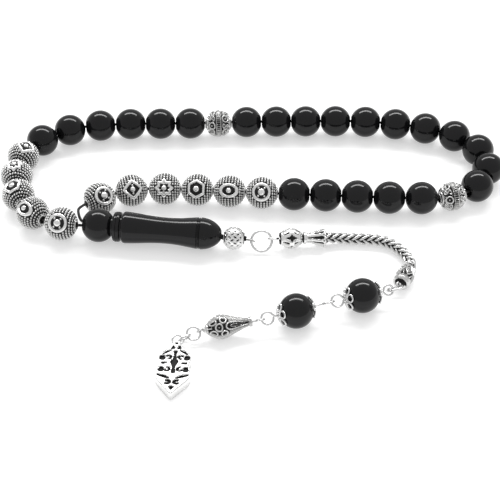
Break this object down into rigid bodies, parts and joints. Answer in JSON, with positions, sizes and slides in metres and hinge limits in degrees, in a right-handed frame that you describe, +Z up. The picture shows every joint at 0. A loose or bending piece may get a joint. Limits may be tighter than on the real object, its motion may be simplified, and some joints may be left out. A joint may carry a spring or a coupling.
{
  "type": "misbaha prayer beads",
  "caption": "Loop of round black and granulated silver prayer beads on a cord, with a turned imame and a hanging silver tassel ending in an openwork pendant.",
  "frame": {"origin": "on the table, under the middle of the box round the whole strand as it is laid out", "axes": "+X along the loop's long side, towards the rounded end away from the imame's ball; +Y away from the tassel, towards the far row of beads; +Z up from the table"},
  "size_m": [0.162, 0.1309, 0.0105],
  "materials": {
    "polished_black": "polished black, glossy",
    "antique_silver": "bright silver with dark oxidised recesses",
    "black_cord": "matt twisted black cord"
  },
  "bodies": {
    "strand": {"cord": "black_cord", "imame": "polished_black"},
    "silver_bead_01": {"silver_bead_01": "antique_silver"},
    "silver_bead_02": {"silver_bead_02": "antique_silver"},
    "silver_bead_03": {"silver_bead_03": "antique_silver"},
    "silver_bead_04": {"silver_bead_04": "antique_silver"},
    "silver_bead_05": {"silver_bead_05": "antique_silver"},
    "black_bead_01": {"black_bead_01": "polished_black"},
    "black_bead_02": {"black_bead_02": "polished_black"},
    "black_bead_03": {"black_bead_03": "polished_black"},
    "black_bead_04": {"black_bead_04": "polished_black"},
    "black_bead_05": {"black_bead_05": "polished_black"},
    "black_bead_06": {"black_bead_06": "polished_black"},
    "separator_1": {"separator_1": "antique_silver"},
    "black_bead_07": {"black_bead_07": "polished_black"},
    "black_bead_08": {"black_bead_08": "polished_black"},
    "black_bead_09": {"black_bead_09": "polished_black"},
    "black_bead_10": {"black_bead_10": "polished_black"},
    "black_bead_11": {"black_bead_11": "polished_black"},
    "black_bead_12": {"black_bead_12": "polished_black"},
    "black_bead_13": {"black_bead_13": "polished_black"},
    "black_bead_14": {"black_bead_14": "polished_black"},
    "black_bead_15": {"black_bead_15": "polished_black"},
    "black_bead_16": {"black_bead_16": "polished_black"},
    "black_bead_17": {"black_bead_17": "polished_black"},
    "separator_2": {"separator_2": "antique_silver"},
    "black_bead_18": {"black_bead_18": "polished_black"},
    "black_bead_19": {"black_bead_19": "polished_black"},
    "black_bead_20": {"black_bead_20": "polished_black"},
    "black_bead_21": {"black_bead_21": "polished_black"},
    "black_bead_22": {"black_bead_22": "polished_black"},
    "silver_bead_06": {"silver_bead_06": "antique_silver"},
    "silver_bead_07": {"silver_bead_07": "antique_silver"},
    "silver_bead_08": {"silver_bead_08": "antique_silver"},
    "silver_bead_09": {"silver_bead_09": "antique_silver"},
    "silver_bead_10": {"silver_bead_10": "antique_silver"},
    "silver_bead_11": {"silver_bead_11": "antique_silver"},
    "tip_bead": {"tip_bead": "antique_silver"},
    "thread_ring": {"thread_ring": "antique_silver"},
    "jump_ring": {"jump_ring": "antique_silver"},
    "crown": {"crown_pin": "antique_silver", "flared_cap": "antique_silver"},
    "crown_bead": {"crown_bead": "antique_silver"},
    "chain_1": {"chain_1": "antique_silver"},
    "chain_2": {"chain_2": "antique_silver"},
    "chain_3": {"chain_3": "antique_silver"},
    "end_cap": {"end_cap": "antique_silver"},
    "end_ring": {"end_ring": "antique_silver"},
    "pin_1": {"eye_pin_1": "antique_silver"},
    "tassel_bead_1": {"tassel_bead_1": "polished_black", "flower_cap_1a": "antique_silver", "flower_cap_1b": "antique_silver"},
    "pin_2": {"eye_pin_2": "antique_silver"},
    "tassel_bead_2": {"tassel_bead_2": "polished_black", "flower_cap_2a": "antique_silver", "flower_cap_2b": "antique_silver"},
    "cone": {"cone_bead": "antique_silver"},
    "ring_a": {"ring_a": "antique_silver"},
    "ring_b": {"ring_b": "antique_silver"},
    "pendant": {"pendant": "antique_silver"}
  },
  "joints": [
    {"name": "silver_bead_01_spin", "type": "hinge", "parent": "strand", "child": "silver_bead_01", "pos_m": [-0.05889, 0.00459, 0.00525], "axis": [-0.9833, 0.1821, 0], "continuous": true},
    {"name": "silver_bead_02_spin", "type": "hinge", "parent": "strand", "child": "silver_bead_02", "pos_m": [-0.06824, 0.00979, 0.00525], "axis": [-0.7021, 0.7121, 0], "continuous": true},
    {"name": "silver_bead_03_spin", "type": "hinge", "parent": "strand", "child": "silver_bead_03", "pos_m": [-0.07385, 0.01889, 0.00525], "axis": [-0.3227, 0.9465, 0], "continuous": true},
    {"name": "silver_bead_04_spin", "type": "hinge", "parent": "strand", "child": "silver_bead_04", "pos_m": [-0.07575, 0.02925, 0.00525], "axis": [-0.0685, 0.9976, 0], "continuous": true},
    {"name": "silver_bead_05_spin", "type": "hinge", "parent": "strand", "child": "silver_bead_05", "pos_m": [-0.07493, 0.0398, 0.00525], "axis": [0.265, 0.9643, 0], "continuous": true},
    {"name": "black_bead_01_spin", "type": "hinge", "parent": "strand", "child": "black_bead_01", "pos_m": [-0.06981, 0.04905, 0.00515], "axis": [0.6744, 0.7384, 0], "continuous": true},
    {"name": "black_bead_02_spin", "type": "hinge", "parent": "strand", "child": "black_bead_02", "pos_m": [-0.06128, 0.05504, 0.00515], "axis": [0.9202, 0.3914, 0], "continuous": true},
    {"name": "black_bead_03_spin", "type": "hinge", "parent": "strand", "child": "black_bead_03", "pos_m": [-0.05127, 0.05768, 0.00515], "axis": [0.9896, 0.1436, 0], "continuous": true},
    {"name": "black_bead_04_spin", "type": "hinge", "parent": "strand", "child": "black_bead_04", "pos_m": [-0.04118, 0.05857, 0.00515], "axis": [0.9991, 0.0413, 0], "continuous": true},
    {"name": "black_bead_05_spin", "type": "hinge", "parent": "strand", "child": "black_bead_05", "pos_m": [-0.03115, 0.05878, 0.00515], "axis": [1, 0.0096, 0], "continuous": true},
    {"name": "black_bead_06_spin", "type": "hinge", "parent": "strand", "child": "black_bead_06", "pos_m": [-0.02111, 0.05897, 0.00515], "axis": [0.9995, 0.032, 0], "continuous": true},
    {"name": "separator_1_spin", "type": "hinge", "parent": "strand", "child": "separator_1", "pos_m": [-0.01165, 0.05938, 0.00485], "axis": [0.9987, 0.0516, 0], "continuous": true},
    {"name": "black_bead_07_spin", "type": "hinge", "parent": "strand", "child": "black_bead_07", "pos_m": [-0.00218, 0.05981, 0.00515], "axis": [0.9993, 0.0364, 0], "continuous": true},
    {"name": "black_bead_08_spin", "type": "hinge", "parent": "strand", "child": "black_bead_08", "pos_m": [0.00785, 0.06007, 0.00515], "axis": [0.9999, 0.0163, 0], "continuous": true},
    {"name": "black_bead_09_spin", "type": "hinge", "parent": "strand", "child": "black_bead_09", "pos_m": [0.0178, 0.06021, 0.00515], "axis": [0.9999, 0.0154, 0], "continuous": true},
    {"name": "black_bead_10_spin", "type": "hinge", "parent": "strand", "child": "black_bead_10", "pos_m": [0.02784, 0.06029, 0.00515], "axis": [1, -0.0062, 0], "continuous": true},
    {"name": "black_bead_11_spin", "type": "hinge", "parent": "strand", "child": "black_bead_11", "pos_m": [0.03796, 0.05988, 0.00515], "axis": [0.9967, -0.0814, 0], "continuous": true},
    {"name": "black_bead_12_spin", "type": "hinge", "parent": "strand", "child": "black_bead_12", "pos_m": [0.04799, 0.05851, 0.00515], "axis": [0.9816, -0.191, 0], "continuous": true},
    {"name": "black_bead_13_spin", "type": "hinge", "parent": "strand", "child": "black_bead_13", "pos_m": [0.05779, 0.05599, 0.00515], "axis": [0.9506, -0.3106, 0], "continuous": true},
    {"name": "black_bead_14_spin", "type": "hinge", "parent": "strand", "child": "black_bead_14", "pos_m": [0.06709, 0.05151, 0.00515], "axis": [0.8122, -0.5833, 0], "continuous": true},
    {"name": "black_bead_15_spin", "type": "hinge", "parent": "strand", "child": "black_bead_15", "pos_m": [0.07394, 0.04358, 0.00515], "axis": [0.4584, -0.8888, 0], "continuous": true},
    {"name": "black_bead_16_spin", "type": "hinge", "parent": "strand", "child": "black_bead_16", "pos_m": [0.07586, 0.03325, 0.00515], "axis": [-0.1399, -0.9902, 0], "continuous": true},
    {"name": "black_bead_17_spin", "type": "hinge", "parent": "strand", "child": "black_bead_17", "pos_m": [0.07112, 0.0239, 0.00515], "axis": [-0.7068, -0.7075, 0], "continuous": true},
    {"name": "separator_2_spin", "type": "hinge", "parent": "strand", "child": "separator_2", "pos_m": [0.0626, 0.01886, 0.00485], "axis": [-0.9589, -0.2838, 0], "continuous": true},
    {"name": "black_bead_18_spin", "type": "hinge", "parent": "strand", "child": "black_bead_18", "pos_m": [0.0529, 0.01757, 0.00515], "axis": [-0.9997, -0.0229, 0], "continuous": true},
    {"name": "black_bead_19_spin", "type": "hinge", "parent": "strand", "child": "black_bead_19", "pos_m": [0.04278, 0.01779, 0.00515], "axis": [-0.9985, 0.0546, 0], "continuous": true},
    {"name": "black_bead_20_spin", "type": "hinge", "parent": "strand", "child": "black_bead_20", "pos_m": [0.03275, 0.0184, 0.00515], "axis": [-0.9981, 0.0617, 0], "continuous": true},
    {"name": "black_bead_21_spin", "type": "hinge", "parent": "strand", "child": "black_bead_21", "pos_m": [0.02283, 0.019, 0.00515], "axis": [-0.9983, 0.0586, 0], "continuous": true},
    {"name": "black_bead_22_spin", "type": "hinge", "parent": "strand", "child": "black_bead_22", "pos_m": [0.0129, 0.01958, 0.00515], "axis": [-0.9982, 0.0597, 0], "continuous": true},
    {"name": "silver_bead_06_spin", "type": "hinge", "parent": "strand", "child": "silver_bead_06", "pos_m": [0.00278, 0.02022, 0.00525], "axis": [-0.9978, 0.0669, 0], "continuous": true},
    {"name": "silver_bead_07_spin", "type": "hinge", "parent": "strand", "child": "silver_bead_07", "pos_m": [-0.00742, 0.02098, 0.00525], "axis": [-0.9967, 0.0817, 0], "continuous": true},
    {"name": "silver_bead_08_spin", "type": "hinge", "parent": "strand", "child": "silver_bead_08", "pos_m": [-0.01762, 0.02182, 0.00525], "axis": [-0.9971, 0.0759, 0], "continuous": true},
    {"name": "silver_bead_09_spin", "type": "hinge", "parent": "strand", "child": "silver_bead_09", "pos_m": [-0.02793, 0.02233, 0.00525], "axis": [-0.9999, 0.0152, 0], "continuous": true},
    {"name": "silver_bead_10_spin", "type": "hinge", "parent": "strand", "child": "silver_bead_10", "pos_m": [-0.03843, 0.02143, 0.00525], "axis": [-0.9751, -0.2218, 0], "continuous": true},
    {"name": "silver_bead_11_spin", "type": "hinge", "parent": "strand", "child": "silver_bead_11", "pos_m": [-0.04812, 0.0171, 0.00525], "axis": [-0.8068, -0.5909, 0], "continuous": true},
    {"name": "tip_bead_spin", "type": "hinge", "parent": "strand", "child": "tip_bead", "pos_m": [-0.0059, -0.0015, 0.0044], "axis": [0.999, -0.04, -0.02], "continuous": true},
    {"name": "thread_ring_swing", "type": "hinge", "parent": "strand", "child": "thread_ring", "pos_m": [-0.00195, -0.00166, 0.00422], "axis": [0, 0, 1], "range_deg": [-10, 10]},
    {"name": "jump_ring_swing", "type": "hinge", "parent": "thread_ring", "child": "jump_ring", "pos_m": [-0.00012, -0.00174, 0.00368], "axis": [0, 0, -1], "range_deg": [-14, 20]},
    {"name": "crown_swing", "type": "hinge", "parent": "jump_ring", "child": "crown", "pos_m": [0.00506, -0.00134, 0.0038], "axis": [0, 0, 1], "range_deg": [-15, 15]},
    {"name": "crown_bead_spin", "type": "hinge", "parent": "crown", "child": "crown_bead", "pos_m": [0.00799, -0.00099, 0.00383], "axis": [0.9926, 0.1061, -0.0593], "continuous": true},
    {"name": "chain_1_swing", "type": "hinge", "parent": "crown", "child": "chain_1", "pos_m": [0.0215, 0.0005, 0.003], "axis": [0, 0, -1], "range_deg": [-12, 12]},
    {"name": "chain_2_swing", "type": "hinge", "parent": "chain_1", "child": "chain_2", "pos_m": [0.03216, 0.00108, 0.00207], "axis": [0, 0, 1], "range_deg": [-15, 15]},
    {"name": "chain_3_swing", "type": "hinge", "parent": "chain_2", "child": "chain_3", "pos_m": [0.0423, -0.00186, 0.0021], "axis": [0, 0, -1], "range_deg": [-15, 15]},
    {"name": "end_cap_swing", "type": "hinge", "parent": "chain_3", "child": "end_cap", "pos_m": [0.0466, -0.0134, 0.0029], "axis": [0, 0, 1], "range_deg": [-12, 12]},
    {"name": "end_ring_swing", "type": "hinge", "parent": "end_cap", "child": "end_ring", "pos_m": [0.04234, -0.0224, 0.0032], "axis": [0, 0, -1], "range_deg": [-20, 20]},
    {"name": "pin_1_swing", "type": "hinge", "parent": "end_ring", "child": "pin_1", "pos_m": [0.03983, -0.02537, 0.00458], "axis": [0, 0, 1], "range_deg": [-14, 20]},
    {"name": "tassel_bead_1_spin", "type": "hinge", "parent": "pin_1", "child": "tassel_bead_1", "pos_m": [0.03141, -0.02866, 0.00518], "axis": [-0.9414, -0.335, 0.0405], "continuous": true},
    {"name": "pin_2_swing", "type": "hinge", "parent": "pin_1", "child": "pin_2", "pos_m": [0.02266, -0.03161, 0.00545], "axis": [0, 0, -1], "range_deg": [-20, 20]},
    {"name": "tassel_bead_2_spin", "type": "hinge", "parent": "pin_2", "child": "tassel_bead_2", "pos_m": [0.01213, -0.03519, 0.00513], "axis": [-0.9424, -0.3335, -0.0269], "continuous": true},
    {"name": "cone_swing", "type": "hinge", "parent": "pin_2", "child": "cone", "pos_m": [0.0026, -0.03834, 0.00475], "axis": [0, 0, 1], "range_deg": [-14, 20]},
    {"name": "ring_a_swing", "type": "hinge", "parent": "cone", "child": "ring_a", "pos_m": [-0.01558, -0.04163, 0.00319], "axis": [0, 0, -1], "range_deg": [-15, 15]},
    {"name": "ring_b_swing", "type": "hinge", "parent": "ring_a", "child": "ring_b", "pos_m": [-0.01815, -0.04277, 0.0025], "axis": [0, 0, 1], "range_deg": [-15, 15]},
    {"name": "pendant_swing", "type": "hinge", "parent": "ring_b", "child": "pendant", "pos_m": [-0.02057, -0.04371, 0.00206], "axis": [-0.9986, 0.0535, 0], "range_deg": [0, 35]}
  ]
}
